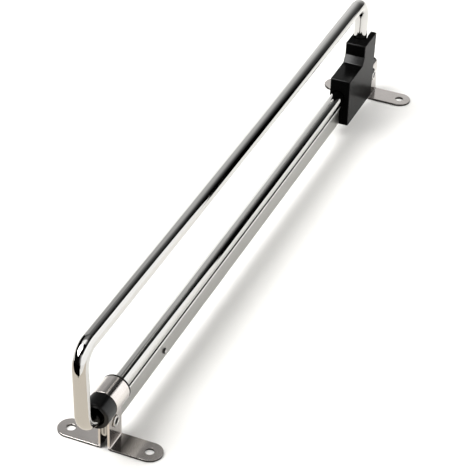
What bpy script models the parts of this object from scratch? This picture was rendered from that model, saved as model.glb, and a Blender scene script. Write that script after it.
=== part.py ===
"""Pull-out clothes rail: a chrome hanger loop that slides on a slim fixed rail under a shelf.

The part stands on its two flanged straps with the loop upwards. Rail and loop run along Y,
the end that is pulled out is at -Y, and the origin is the middle of the footprint at z = 0.
"""
import math

import bmesh
import bpy
from mathutils import Matrix

MM = 0.001

# Clearance kept between pieces that touch, slide or fit into each other.
FIT_GAP = 0.3 * MM

# Bent rod of the hanger loop.
ROD_RADIUS = 4.0 * MM
FOOT_BEND = 11.5 * MM
TOP_BEND = 9.5 * MM
REAR_BEND = 11.0 * MM
LOOP_LENGTH = 375.0 * MM
LOOP_HEIGHT = 48.0 * MM
LOOP_LEAN = 2.4 * MM

# Folded sheet rail under the loop's lower run.
RAIL_FLOOR_GAP = 8.4 * MM
RAIL_HEIGHT = 13.5 * MM
RAIL_WIDTH = 3.0 * MM
RAIL_SHEET = 1.3 * MM
LIP_REACH = 0.8 * MM
LIP_BEND = 0.2 * MM
END_TRIM_DEPTH = 2.1 * MM
RUN_CLEARANCE = 2.4 * MM

# Strip that both straps are bent from.
STRIP_WIDTH = 13.6 * MM
STRIP_THICKNESS = 1.3 * MM
STRIP_BEND = 0.6 * MM
NECK_BEND = 1.35 * MM
HOLE_SPACING = 42.6 * MM
SCREW_HOLE_RADIUS = 2.4 * MM

# Plastic bush with its slide liner, and the clip that keeps it in the front strap.
LINER_WALL = 0.7 * MM
LINER_SETBACK = 1.8 * MM
BUSH_WALL = 0.6 * MM
BUSH_END_LIP = 0.8 * MM
NOSE_LENGTH = 9.5 * MM
NOSE_EDGE = 0.8 * MM
NOSE_MOUTH_EDGE = 0.5 * MM
CLIP_LENGTH = 0.8 * MM

# Tubular rivets through straps and rail.
EYELET_BORE = 1.8 * MM
EYELET_WALL = 0.5 * MM
EYELET_FLANGE = 0.6 * MM
EYELET_FLANGE_THICKNESS = 0.5 * MM

# Stop rivets through the rail at both ends of the travel.
STOP_DISTANCE = 59.4 * MM
STOP_SHANK_RADIUS = 1.0 * MM
STOP_HEAD_RADIUS = 1.6 * MM
STOP_CROWN_RADIUS = 0.9 * MM
STOP_HEAD_THICKNESS = 0.8 * MM

# Moulded carriage that joins both ends of the rod and slides on the rail.
CARRIAGE_LEFT_WALL = 0.7 * MM
CARRIAGE_RIGHT_WALL = 3.2 * MM
CARRIAGE_NOSE = 35.4 * MM
CARRIAGE_FRONT_WALL = 7.1 * MM
CARRIAGE_REAR_WALL = 1.7 * MM
CARRIAGE_REAR_LEAN = 2.6 * MM
CARRIAGE_SKIRT_RISE = 1.2 * MM
CARRIAGE_ROOF = 7.4 * MM
CARRIAGE_SOCKET_HEIGHT = 12.0 * MM
STEP_BEVEL_DEPTH = 2.8 * MM
STEP_BEVEL_HEIGHT = 4.3 * MM
CARRIAGE_EDGE = 1.2 * MM
NOTCH_DEPTH = 8.0 * MM
BORE_WALL = 4.4 * MM
LEG_GRIP = 18.0 * MM
RIB_RADIUS = 1.6 * MM
RIB_REACH = 2.2 * MM
RIB_SPACING = 7.4 * MM
STRAP_CLEARANCE = 2.7 * MM

# Screw from the carriage's rear into the end of the lower run.
RUN_SCREW_RADIUS = 1.75 * MM
RUN_SCREW_HEAD = 3.2 * MM
RUN_SCREW_HEAD_HEIGHT = 2.2 * MM
RUN_SCREW_GRIP = 8.0 * MM
RUN_SCREW_SEAT = 4.0 * MM
DRIVE_WIDTH = 0.9 * MM
DRIVE_LENGTH = 3.6 * MM
DRIVE_DEPTH = 1.2 * MM

# Set screw that presses on the rear leg.
GRUB_RADIUS = 2.0 * MM
GRUB_SOCKET_RADIUS = 1.1 * MM
GRUB_SOCKET_DEPTH = 1.4 * MM

# Facets of round shapes.
ROUND_STEPS = 32
SMALL_STEPS = 20
BEND_STEPS = 9
FILLET_STEPS = 6
EDGE_STEPS = 3
HEXAGON_SIDES = 6
ROD_SIDES_RESOLUTION = 6
SMOOTH_ANGLE = 35
TIP_START_ANGLE = 6
WELD_DISTANCE = 0.001 * MM

# Heights.
RAIL_TOP = RAIL_FLOOR_GAP + RAIL_HEIGHT
END_TRIM_TOP = RAIL_TOP - END_TRIM_DEPTH
RUN_Z = RAIL_TOP + RUN_CLEARANCE + ROD_RADIUS
TOP_RUN_Z = RUN_Z + LOOP_HEIGHT
RIVET_Z = (RAIL_FLOOR_GAP + END_TRIM_TOP) / 2
BORE_RADIUS = ROD_RADIUS + FIT_GAP
SHELF_Z = RUN_Z + BORE_RADIUS + CARRIAGE_ROOF
CARRIAGE_TOP_Z = SHELF_Z + CARRIAGE_SOCKET_HEIGHT
CARRIAGE_BOTTOM_Z = RAIL_FLOOR_GAP + CARRIAGE_SKIRT_RISE
LEG_END_Z = CARRIAGE_TOP_Z - LEG_GRIP
NOTCH_BOTTOM_Z = CARRIAGE_TOP_Z - NOTCH_DEPTH
GRUB_Z = (LEG_END_Z + NOTCH_BOTTOM_Z) / 2

# Radii around the lower run.
LINER_OUTER = BORE_RADIUS + LINER_WALL
BUSH_BORE = LINER_OUTER + FIT_GAP
SLEEVE_RADIUS = BUSH_BORE + BUSH_WALL
COLLAR_INNER = SLEEVE_RADIUS + FIT_GAP
COLLAR_OUTER = COLLAR_INNER + STRIP_THICKNESS

# Half widths across the rail.
EAR_INNER = RAIL_WIDTH / 2 + FIT_GAP
EAR_OUTER = EAR_INNER + STRIP_THICKNESS
LIP_EDGE = RAIL_WIDTH / 2 + LIP_REACH
CARRIAGE_LEFT = -(BORE_RADIUS + CARRIAGE_LEFT_WALL)
CARRIAGE_RIGHT = BORE_RADIUS + CARRIAGE_RIGHT_WALL

# The front leg leans forward, so the bends at its foot and top turn a little off a right angle.
LEAN_ANGLE = math.atan2(LOOP_LEAN, LOOP_HEIGHT)
FOOT_TANGENT = FOOT_BEND * math.tan((math.pi / 2 - LEAN_ANGLE) / 2)
TOP_TANGENT = TOP_BEND * math.tan((math.pi / 2 + LEAN_ANGLE) / 2)

# Places along the rail, counted from the front strap's middle.
HALF_STRIP = STRIP_WIDTH / 2
NOSE_AHEAD = HALF_STRIP + FIT_GAP + NOSE_LENGTH
FOOT_BEND_AHEAD = NOSE_AHEAD + FIT_GAP
TOP_BEND_AHEAD = FOOT_BEND_AHEAD + FOOT_TANGENT + LOOP_LEAN - TOP_TANGENT
LOOP_FRONT = TOP_BEND_AHEAD + TOP_BEND + ROD_RADIUS
REAR_LEG = LOOP_LENGTH - TOP_BEND_AHEAD - TOP_TANGENT
CARRIAGE_REAR = BORE_RADIUS + CARRIAGE_REAR_WALL
RIB_TIP = CARRIAGE_REAR + CARRIAGE_REAR_LEAN + RIB_REACH + RIB_RADIUS
REAR_STRAP = REAR_LEG + RIB_TIP + STRAP_CLEARANCE + HALF_STRIP

# World places: the footprint's middle is the origin.
FRONT_Y = (LOOP_FRONT - REAR_STRAP - HALF_STRIP) / 2
REAR_LEG_Y = FRONT_Y + REAR_LEG
REAR_Y = FRONT_Y + REAR_STRAP
STOP_Y = FRONT_Y + STOP_DISTANCE
CARRIAGE_FRONT_Y = REAR_LEG_Y - CARRIAGE_NOSE
UPPER_FRONT_Y = REAR_LEG_Y - BORE_RADIUS - CARRIAGE_FRONT_WALL
CARRIAGE_REAR_Y = REAR_LEG_Y + CARRIAGE_REAR
RUN_END_Y = REAR_LEG_Y - BORE_RADIUS - BORE_WALL - FIT_GAP
SCREW_SEAT_Y = RUN_END_Y + FIT_GAP + RUN_SCREW_SEAT


def clear_scene():
    for item in list(bpy.data.objects):
        bpy.data.objects.remove(item, do_unlink=True)


def new_collection(name):
    collection = bpy.data.collections.new(name)
    bpy.context.scene.collection.children.link(collection)
    return collection


def make_material(name, colour, roughness, metallic):
    material = bpy.data.materials.new(name)
    material.use_nodes = True
    shader = material.node_tree.nodes["Principled BSDF"]
    shader.inputs["Base Color"].default_value = (*colour, 1.0)
    shader.inputs["Roughness"].default_value = roughness
    shader.inputs["Metallic"].default_value = metallic
    return material


clear_scene()
PARTS = new_collection("pull_out_clothes_rail")
CUTTERS = new_collection("cutters")

LAY_ON_Y = Matrix.Rotation(-math.pi / 2, 4, "X")
LAY_ON_X = Matrix.Rotation(math.pi / 2, 4, "Y")
UPRIGHT = Matrix.Identity(4)
# A flat outline drawn in (Y, Z), with its thickness along X.
SIDE_ON = Matrix(((0, 0, 1, 0), (1, 0, 0, 0), (0, 1, 0, 0), (0, 0, 0, 1)))


def arc(centre, radius, start, end, steps=BEND_STEPS):
    """Points on a circle from angle start to angle end, in degrees, both ends included."""
    points = []
    for i in range(steps + 1):
        angle = math.radians(start + (end - start) * i / steps)
        points.append((centre[0] + radius * math.cos(angle), centre[1] + radius * math.sin(angle)))
    return points


def add_object(name, mesh, collection, placement=UPRIGHT):
    item = bpy.data.objects.new(name, mesh)
    item.matrix_world = placement
    collection.objects.link(item)
    return item


def add_part(name, mesh, material, placement=UPRIGHT):
    mesh.materials.append(material)
    mesh.shade_smooth()
    mesh.set_sharp_from_angle(angle=math.radians(SMOOTH_ANGLE))
    return add_object(name, mesh, PARTS, placement)


def add_cutter(name, bm, placement=UPRIGHT):
    mesh = bpy.data.meshes.new(name)
    bm.to_mesh(mesh)
    bm.free()
    item = add_object(name, mesh, CUTTERS, placement)
    item.hide_render = True
    item.display_type = "WIRE"
    return item


def round_cutter(name, radius, length, direction, centre, sides=SMALL_STEPS):
    bm = bmesh.new()
    bmesh.ops.create_cone(bm, cap_ends=True, segments=sides, radius1=radius, radius2=radius, depth=length)
    return add_cutter(name, bm, Matrix.Translation(centre) @ direction)


def box_cutter(name, low, high):
    bm = bmesh.new()
    bmesh.ops.create_cube(bm, size=1.0)
    size = [h - l for l, h in zip(low, high)]
    middle = [(h + l) / 2 for l, h in zip(low, high)]
    bmesh.ops.scale(bm, vec=size, verts=bm.verts)
    return add_cutter(name, bm, Matrix.Translation(middle))


def cut(item, cutter):
    modifier = item.modifiers.new(cutter.name, "BOOLEAN")
    modifier.operation = "DIFFERENCE"
    modifier.object = cutter


def sheet_mesh(name, path, edges):
    """Open surface: path points (x, z), each with its front and rear y from edges."""
    bm = bmesh.new()
    rows = []
    for (x, z), (front, rear) in zip(path, edges):
        rows.append((bm.verts.new((x, front, z)), bm.verts.new((x, rear, z))))
    for (a, b), (c, d) in zip(rows, rows[1:]):
        bm.faces.new((a, c, d, b))
    mesh = bpy.data.meshes.new(name)
    bm.to_mesh(mesh)
    bm.free()
    return mesh


def thicken(item, thickness):
    modifier = item.modifiers.new("sheet", "SOLIDIFY")
    modifier.thickness = thickness
    modifier.offset = 0.0
    modifier.use_even_offset = True


def turned(name, profile, closed, material, placement, steps=ROUND_STEPS):
    """Profile points (radius, height) turned about local Z, outer side from top to bottom."""
    bm = bmesh.new()
    points = [bm.verts.new((radius, 0.0, height)) for radius, height in profile]
    for a, b in zip(points, points[1:]):
        bm.edges.new((a, b))
    if closed:
        bm.edges.new((points[-1], points[0]))
    mesh = bpy.data.meshes.new(name)
    bm.to_mesh(mesh)
    bm.free()
    item = add_part(name, mesh, material, placement)
    modifier = item.modifiers.new("turn", "SCREW")
    modifier.axis = "Z"
    modifier.angle = math.tau
    modifier.steps = steps
    modifier.render_steps = steps
    modifier.use_merge_vertices = True
    modifier.merge_threshold = WELD_DISTANCE
    return item


def curve_to_mesh(item):
    """Mesh copy of a curve object with its caps welded; the curve is removed."""
    graph = bpy.context.evaluated_depsgraph_get()
    mesh = bpy.data.meshes.new_from_object(item.evaluated_get(graph))
    bm = bmesh.new()
    bm.from_mesh(mesh)
    bmesh.ops.remove_doubles(bm, verts=bm.verts, dist=WELD_DISTANCE)
    bm.to_mesh(mesh)
    bm.free()
    bpy.data.objects.remove(item, do_unlink=True)
    return mesh


def outline_mesh(name, points, thickness):
    """Flat filled outline of the given thickness, centred on its own plane."""
    curve = bpy.data.curves.new(name, "CURVE")
    curve.dimensions = "2D"
    curve.fill_mode = "BOTH"
    curve.extrude = thickness / 2
    spline = curve.splines.new("POLY")
    spline.points.add(len(points) - 1)
    for point, (u, v) in zip(spline.points, points):
        point.co = (u, v, 0.0, 1.0)
    spline.use_cyclic_u = True
    return curve_to_mesh(add_object(name, curve, PARTS))


CHROME = make_material("chrome_rod", (0.82, 0.81, 0.79), 0.08, 1.0)
NICKEL = make_material("nickel_strip", (0.66, 0.63, 0.61), 0.26, 1.0)
SATIN = make_material("satin_rail", (0.62, 0.61, 0.58), 0.32, 1.0)
RIVET = make_material("rivet_steel", (0.75, 0.74, 0.72), 0.22, 1.0)
BUSH_PLASTIC = make_material("bush_plastic", (0.015, 0.015, 0.016), 0.38, 0.0)
BODY_PLASTIC = make_material("carriage_plastic", (0.022, 0.022, 0.022), 0.5, 0.0)
LINER_PLASTIC = make_material("liner_plastic", (0.03, 0.03, 0.032), 0.3, 0.0)
SCREW_STEEL = make_material("screw_steel", (0.5, 0.5, 0.5), 0.3, 1.0)


def mirrored(half):
    """Path from the right tip to the left tip; the right half ends on the middle plane."""
    return half + [(-x, z) for x, z in reversed(half[:-1])]


def foot_path():
    """Strip centre line from the rounded flange tip to the top of the flange bend."""
    level = STRIP_THICKNESS / 2
    ear = EAR_INNER + STRIP_THICKNESS / 2
    bend = STRIP_BEND + STRIP_THICKNESS / 2
    tip = arc((HOLE_SPACING / 2, 0.0), HALF_STRIP, TIP_START_ANGLE, 90)
    path = [(x, level) for x, _ in tip]
    return path + arc((ear + bend, level + bend), bend, 270, 180)


def strip_edges(path):
    """Front and rear edge of the strip at each path point: straight, with round flange tips."""
    edges = []
    for x, _ in path:
        past_hole = max(0.0, abs(x) - HOLE_SPACING / 2)
        half = math.sqrt(max(HALF_STRIP ** 2 - past_hole ** 2, 0.0))
        edges.append((-half, half))
    return edges


def strap(name, half_path, middle_y):
    path = mirrored(half_path)
    item = add_part(name, sheet_mesh(name, path, strip_edges(path)), NICKEL)
    item.location.y = middle_y
    thicken(item, STRIP_THICKNESS)
    for side in (-1, 1):
        place = (side * HOLE_SPACING / 2, middle_y, STRIP_THICKNESS / 2)
        cut(item, round_cutter(f"{name}_hole{side}", SCREW_HOLE_RADIUS, 4 * STRIP_THICKNESS, UPRIGHT, place))
    cut(item, eyelet_cutter(name, middle_y))
    return item


def eyelet_cutter(name, middle_y):
    radius = EYELET_BORE + EYELET_WALL + FIT_GAP
    return round_cutter(f"{name}_rivet_hole", radius, 4 * EAR_OUTER, LAY_ON_X, (0.0, middle_y, RIVET_Z))


def front_strap():
    """Strip bent like the letter omega: flanges, two ears on the rail, and a collar over them."""
    ear = EAR_INNER + STRIP_THICKNESS / 2
    collar = COLLAR_INNER + STRIP_THICKNESS / 2
    neck = NECK_BEND + STRIP_THICKNESS / 2
    drop = math.sqrt((collar + neck) ** 2 - (ear + neck) ** 2)
    turn = math.degrees(math.atan2(drop, ear + neck))
    path = foot_path()
    path += arc((ear + neck, RUN_Z - drop), neck, 180, 180 - turn)
    path += arc((0.0, RUN_Z), collar, -turn, 90, 2 * BEND_STEPS)[1:]
    return strap("front_strap", path, FRONT_Y)


def rear_strap():
    """Strip folded over the rail like a hairpin, with the same flanges."""
    ear = EAR_INNER + STRIP_THICKNESS / 2
    path = foot_path() + arc((0.0, END_TRIM_TOP - FIT_GAP), ear, 0, 90)
    return strap("rear_strap", path, REAR_Y)


def slide_rail():
    """Sheet folded to a narrow channel, open upwards, with lips that hold the carriage down."""
    wall = RAIL_WIDTH / 2 - RAIL_SHEET / 2
    bend = LIP_BEND + RAIL_SHEET / 2
    lip = RAIL_TOP - RAIL_SHEET / 2
    half = [(LIP_EDGE, lip)]
    half += arc((wall + bend, lip - bend), bend, 90, 180, EDGE_STEPS)
    half += arc((0.0, RAIL_FLOOR_GAP + RAIL_WIDTH / 2), wall, 0, -90, FILLET_STEPS)
    path = mirrored(half)
    front = FRONT_Y - HALF_STRIP + FIT_GAP
    rear = REAR_Y + HALF_STRIP - FIT_GAP
    item = add_part("slide_rail", sheet_mesh("slide_rail", path, [(front, rear)] * len(path)), SATIN)
    thicken(item, RAIL_SHEET)
    for name, middle in (("front", FRONT_Y), ("rear", REAR_Y)):
        reach = HALF_STRIP + FIT_GAP
        if name == "front":
            reach += CLIP_LENGTH + FIT_GAP
        low = (-COLLAR_OUTER, middle - reach, END_TRIM_TOP)
        high = (COLLAR_OUTER, middle + reach, RUN_Z)
        cut(item, box_cutter(f"rail_{name}_trim", low, high))
        cut(item, eyelet_cutter(f"rail_{name}", middle))
    for name, y in stop_places().items():
        radius = STOP_SHANK_RADIUS + FIT_GAP
        cut(item, round_cutter(f"{name}_hole", radius, 4 * EAR_OUTER, LAY_ON_X, (0.0, y, RIVET_Z)))
    return item


def eyelet(name, middle_y):
    """Tubular rivet with a flange rolled over each ear of a strap."""
    tube = EYELET_BORE + EYELET_WALL
    flange = tube + FIT_GAP + EYELET_FLANGE
    seat = EAR_OUTER + FIT_GAP
    end = seat + EYELET_FLANGE_THICKNESS
    lip = EYELET_FLANGE_THICKNESS / 2
    profile = [
        (EYELET_BORE + lip, end),
        (flange - lip, end),
        (flange, end - lip),
        (flange, seat),
        (tube, seat),
        (tube, -seat),
        (flange, -seat),
        (flange, -end + lip),
        (flange - lip, -end),
        (EYELET_BORE + lip, -end),
        (EYELET_BORE, -end + lip),
        (EYELET_BORE, end - lip),
    ]
    place = Matrix.Translation((0.0, middle_y, RIVET_Z)) @ LAY_ON_X
    return turned(name, profile, True, RIVET, place, SMALL_STEPS)


def rear_line(level):
    """Y of the carriage's leaning rear face at a height."""
    share = (level - CARRIAGE_BOTTOM_Z) / (CARRIAGE_TOP_Z - CARRIAGE_BOTTOM_Z)
    return CARRIAGE_REAR_Y + CARRIAGE_REAR_LEAN * share


def stop_places():
    """Names and places along the rail of the rivets that the carriage runs up against."""
    behind = rear_line(RIVET_Z + STOP_HEAD_RADIUS) + FIT_GAP + STOP_HEAD_RADIUS
    return {"front_stop_rivet": STOP_Y, "rear_stop_rivet": behind}


def stop_rivet(name, y):
    """Solid rivet through the rail, with a low crowned head on each side."""
    seat = RAIL_WIDTH / 2 + FIT_GAP
    end = seat + STOP_HEAD_THICKNESS
    shoulder = seat + STOP_HEAD_THICKNESS / 2
    profile = [
        (0.0, end),
        (STOP_CROWN_RADIUS, end),
        (STOP_HEAD_RADIUS, shoulder),
        (STOP_HEAD_RADIUS, seat),
        (STOP_SHANK_RADIUS, seat),
        (STOP_SHANK_RADIUS, -seat),
        (STOP_HEAD_RADIUS, -seat),
        (STOP_HEAD_RADIUS, -shoulder),
        (STOP_CROWN_RADIUS, -end),
        (0.0, -end),
    ]
    place = Matrix.Translation((0.0, y, RIVET_Z)) @ LAY_ON_X
    return turned(name, profile, False, RIVET, place, SMALL_STEPS)


def rounded(radius, height, edge, start, end):
    """Quarter of a rounded profile edge about (radius, height)."""
    return arc((radius, height), edge, start, end, EDGE_STEPS)


def bush_frame():
    return Matrix.Translation((0.0, FRONT_Y, RUN_Z)) @ LAY_ON_Y


BUSH_SEAT = -HALF_STRIP - FIT_GAP
BUSH_NOSE = BUSH_SEAT - NOSE_LENGTH
BUSH_REAR = HALF_STRIP + FIT_GAP + CLIP_LENGTH


def front_bush():
    """Bush: a round-edged nose in front of the collar and a sleeve through it."""
    profile = [
        (BORE_RADIUS, BUSH_REAR),
        (SLEEVE_RADIUS, BUSH_REAR),
        (SLEEVE_RADIUS, BUSH_SEAT),
        (COLLAR_OUTER, BUSH_SEAT),
    ]
    profile += rounded(COLLAR_OUTER - NOSE_EDGE, BUSH_NOSE + NOSE_EDGE, NOSE_EDGE, 0, -90)
    profile += rounded(BUSH_BORE + NOSE_MOUTH_EDGE, BUSH_NOSE + NOSE_MOUTH_EDGE, NOSE_MOUTH_EDGE, 270, 180)
    profile += [(BUSH_BORE, BUSH_REAR - BUSH_END_LIP), (BORE_RADIUS, BUSH_REAR - BUSH_END_LIP)]
    return turned("front_bush", profile, True, BUSH_PLASTIC, bush_frame())


def bush_liner():
    """Slide liner in the bush, set back behind its mouth, that the lower run passes through."""
    front = BUSH_NOSE + LINER_SETBACK
    rear = BUSH_REAR - BUSH_END_LIP - FIT_GAP
    profile = [(BORE_RADIUS, rear), (LINER_OUTER, rear), (LINER_OUTER, front), (BORE_RADIUS, front)]
    return turned("bush_liner", profile, True, LINER_PLASTIC, bush_frame())


def bush_clip():
    """Open retaining ring behind the collar; its gap straddles the rail."""
    front = BUSH_REAR - CLIP_LENGTH
    inner = COLLAR_INNER
    profile = [(COLLAR_OUTER, BUSH_REAR), (COLLAR_OUTER, front), (inner, front), (inner, BUSH_REAR)]
    item = turned("bush_clip", profile, True, BUSH_PLASTIC, bush_frame())
    gap = LIP_EDGE + FIT_GAP
    low = (-gap, FRONT_Y, RAIL_FLOOR_GAP)
    high = (gap, FRONT_Y + STRIP_WIDTH + CLIP_LENGTH, RUN_Z)
    cut(item, box_cutter("clip_gap", low, high))
    return item


def loop_path():
    """Centre line of the rod in (y, z), from the end of the lower run to the end of the rear leg."""
    lean = math.degrees(LEAN_ANGLE)
    high = TOP_RUN_Z - TOP_BEND
    path = [(RUN_END_Y, RUN_Z)]
    path += arc((FRONT_Y - FOOT_BEND_AHEAD, RUN_Z + FOOT_BEND), FOOT_BEND, 270, 180 + lean)
    path += arc((FRONT_Y - TOP_BEND_AHEAD, high), TOP_BEND, 180 + lean, 90)
    path += arc((REAR_LEG_Y - REAR_BEND, TOP_RUN_Z - REAR_BEND), REAR_BEND, 90, 0)
    return path + [(REAR_LEG_Y, LEG_END_Z)]


def hanger_loop():
    curve = bpy.data.curves.new("hanger_loop", "CURVE")
    curve.dimensions = "3D"
    curve.bevel_depth = ROD_RADIUS
    curve.bevel_resolution = ROD_SIDES_RESOLUTION
    curve.use_fill_caps = True
    path = loop_path()
    spline = curve.splines.new("POLY")
    spline.points.add(len(path) - 1)
    for point, (y, z) in zip(spline.points, path):
        point.co = (0.0, y, z, 1.0)
    mesh = curve_to_mesh(add_object("hanger_loop", curve, PARTS))
    item = add_part("hanger_loop", mesh, CHROME)
    depth = RUN_SCREW_GRIP + FIT_GAP
    place = (0.0, RUN_END_Y, RUN_Z)
    cut(item, round_cutter("run_tapping", RUN_SCREW_RADIUS + FIT_GAP, 2 * depth, LAY_ON_Y, place))
    return item


def carriage_outline():
    """Side view in (y, z): stepped body with a bevelled shelf and two buffer ribs at the rear."""
    points = [(CARRIAGE_FRONT_Y, CARRIAGE_BOTTOM_Z), (CARRIAGE_REAR_Y, CARRIAGE_BOTTOM_Z)]
    for level in (RUN_Z - RIB_SPACING / 2, RUN_Z + RIB_SPACING / 2):
        tip = rear_line(level) + RIB_REACH
        points.append((rear_line(level - RIB_RADIUS), level - RIB_RADIUS))
        points += arc((tip, level), RIB_RADIUS, -90, 90, FILLET_STEPS)
        points.append((rear_line(level + RIB_RADIUS), level + RIB_RADIUS))
    points.append((rear_line(CARRIAGE_TOP_Z), CARRIAGE_TOP_Z))
    points.append((UPPER_FRONT_Y, CARRIAGE_TOP_Z))
    points.append((UPPER_FRONT_Y, SHELF_Z + STEP_BEVEL_HEIGHT))
    points.append((UPPER_FRONT_Y - STEP_BEVEL_DEPTH, SHELF_Z))
    edge = (CARRIAGE_FRONT_Y + CARRIAGE_EDGE, SHELF_Z - CARRIAGE_EDGE)
    return points + arc(edge, CARRIAGE_EDGE, 90, 180, EDGE_STEPS)


def along_y(name, radius, start, end, level):
    """Round cutter on a line along Y at x = 0."""
    return round_cutter(name, radius, end - start, LAY_ON_Y, (0.0, (start + end) / 2, level))


def carriage_cutters():
    """Rod bores, open notch behind the leg, rail slot and holes of the two screws."""
    beyond = 2 * CARRIAGE_RIGHT
    front = CARRIAGE_FRONT_Y - beyond
    rear = CARRIAGE_REAR_Y + CARRIAGE_REAR_LEAN + RIB_REACH + beyond
    top = CARRIAGE_TOP_Z + beyond
    leg_end = LEG_END_Z - FIT_GAP
    head = LIP_EDGE + FIT_GAP
    head_bottom = RAIL_TOP - RAIL_SHEET - FIT_GAP
    seat = SCREW_SEAT_Y
    leg = (0.0, REAR_LEG_Y, (leg_end + top) / 2)
    return [
        along_y("run_bore", BORE_RADIUS, front, RUN_END_Y + FIT_GAP, RUN_Z),
        round_cutter("leg_bore", BORE_RADIUS, top - leg_end, UPRIGHT, leg),
        box_cutter("leg_notch", (-ROD_RADIUS, REAR_LEG_Y, NOTCH_BOTTOM_Z), (ROD_RADIUS, rear, top)),
        box_cutter("slot_neck", (-EAR_INNER, front, 0.0), (EAR_INNER, rear, RAIL_TOP)),
        box_cutter("slot_head", (-head, front, head_bottom), (head, rear, RAIL_TOP + FIT_GAP)),
        along_y("run_screw_hole", RUN_SCREW_RADIUS + FIT_GAP, RUN_END_Y, rear, RUN_Z),
        along_y("run_screw_counterbore", RUN_SCREW_HEAD + FIT_GAP, seat, rear, RUN_Z),
        along_y("grub_hole", GRUB_RADIUS + FIT_GAP, REAR_LEG_Y, rear, GRUB_Z),
    ]


def carriage_block():
    mesh = outline_mesh("carriage_block", carriage_outline(), CARRIAGE_RIGHT - CARRIAGE_LEFT)
    place = Matrix.Translation(((CARRIAGE_LEFT + CARRIAGE_RIGHT) / 2, 0.0, 0.0)) @ SIDE_ON
    item = add_part("carriage_block", mesh, BODY_PLASTIC, place)
    for cutter in carriage_cutters():
        cut(item, cutter)
    return item


def run_screw():
    """Pan head screw along Y that pulls the end of the lower run into the carriage."""
    under_head = SCREW_SEAT_Y + FIT_GAP
    head_top = under_head + RUN_SCREW_HEAD_HEIGHT
    crown = RUN_SCREW_HEAD_HEIGHT / 2
    profile = [(0.0, head_top), (RUN_SCREW_HEAD - crown, head_top)]
    profile += rounded(RUN_SCREW_HEAD - crown, head_top - crown, crown, 90, 0)[1:]
    profile += [
        (RUN_SCREW_HEAD, under_head),
        (RUN_SCREW_RADIUS, under_head),
        (RUN_SCREW_RADIUS, RUN_END_Y - RUN_SCREW_GRIP),
        (0.0, RUN_END_Y - RUN_SCREW_GRIP),
    ]
    place = Matrix.Translation((0.0, 0.0, RUN_Z)) @ LAY_ON_Y
    item = turned("run_screw", profile, False, SCREW_STEEL, place, SMALL_STEPS)
    half = DRIVE_WIDTH / 2
    arm = DRIVE_LENGTH / 2
    floor = head_top - DRIVE_DEPTH
    over = head_top + DRIVE_DEPTH
    cut(item, box_cutter("drive_x", (-arm, floor, RUN_Z - half), (arm, over, RUN_Z + half)))
    cut(item, box_cutter("drive_z", (-half, floor, RUN_Z - arm), (half, over, RUN_Z + arm)))
    return item


def leg_grub_screw():
    """Set screw along Y, flush with the carriage's rear face, with a hexagon socket."""
    tip = REAR_LEG_Y + BORE_RADIUS
    end = rear_line(GRUB_Z - GRUB_RADIUS) - FIT_GAP
    profile = [(0.0, end), (GRUB_RADIUS, end), (GRUB_RADIUS, tip), (0.0, tip)]
    place = Matrix.Translation((0.0, 0.0, GRUB_Z)) @ LAY_ON_Y
    item = turned("leg_grub_screw", profile, False, SCREW_STEEL, place, SMALL_STEPS)
    socket = (0.0, end, GRUB_Z)
    depth = 2 * GRUB_SOCKET_DEPTH
    cut(item, round_cutter("grub_socket", GRUB_SOCKET_RADIUS, depth, LAY_ON_Y, socket, HEXAGON_SIDES))
    return item


def slider(pieces):
    """Empty on the lower run's axis that carries everything that slides out."""
    empty = bpy.data.objects.new("slider", None)
    empty.matrix_world = Matrix.Translation((0.0, FRONT_Y, RUN_Z))
    PARTS.objects.link(empty)
    for piece in pieces:
        piece.parent = empty
        piece.matrix_parent_inverse = empty.matrix_world.inverted()
    return empty


def build():
    slide_rail()
    front_strap()
    rear_strap()
    eyelet("front_eyelet", FRONT_Y)
    eyelet("rear_eyelet", REAR_Y)
    for name, y in stop_places().items():
        stop_rivet(name, y)
    front_bush()
    bush_liner()
    bush_clip()
    slider([hanger_loop(), carriage_block(), run_screw(), leg_grub_screw()])


build()
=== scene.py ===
"""Looks of the pull-out clothes rail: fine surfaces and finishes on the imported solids.

Points are in mm in the part's own frame until a mesh is made, which is in metres. The rail and both
runs of the hanger loop lie along Y, the end that is pulled out is at -Y, and the floor is z = 0.
Floor, light and camera are made last.
"""
import math

import bmesh
import bpy
import numpy as np
from mathutils import Matrix, Vector


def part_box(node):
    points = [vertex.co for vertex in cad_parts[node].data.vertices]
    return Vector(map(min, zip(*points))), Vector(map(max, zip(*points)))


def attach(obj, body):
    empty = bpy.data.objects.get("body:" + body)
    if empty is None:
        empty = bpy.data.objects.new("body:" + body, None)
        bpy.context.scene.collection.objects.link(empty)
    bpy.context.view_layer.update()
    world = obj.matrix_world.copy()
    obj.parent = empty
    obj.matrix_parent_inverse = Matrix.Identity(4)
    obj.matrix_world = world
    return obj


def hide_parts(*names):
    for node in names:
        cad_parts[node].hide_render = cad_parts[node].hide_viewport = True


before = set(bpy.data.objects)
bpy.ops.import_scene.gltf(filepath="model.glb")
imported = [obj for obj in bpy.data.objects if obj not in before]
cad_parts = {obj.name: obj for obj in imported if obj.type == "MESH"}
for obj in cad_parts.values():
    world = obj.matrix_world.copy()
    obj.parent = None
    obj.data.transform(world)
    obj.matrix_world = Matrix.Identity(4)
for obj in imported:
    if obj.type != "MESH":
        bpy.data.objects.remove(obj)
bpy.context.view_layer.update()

# Units, the places of the axes in a point, and the distance in metres within which points merge.
MM = 0.001
X, Y, Z = 0, 1, 2
WELD = 0.000002

# Sizes of the solids that the finer surfaces repeat, in mm. Round ones are radii.
GAP = 0.3

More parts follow.
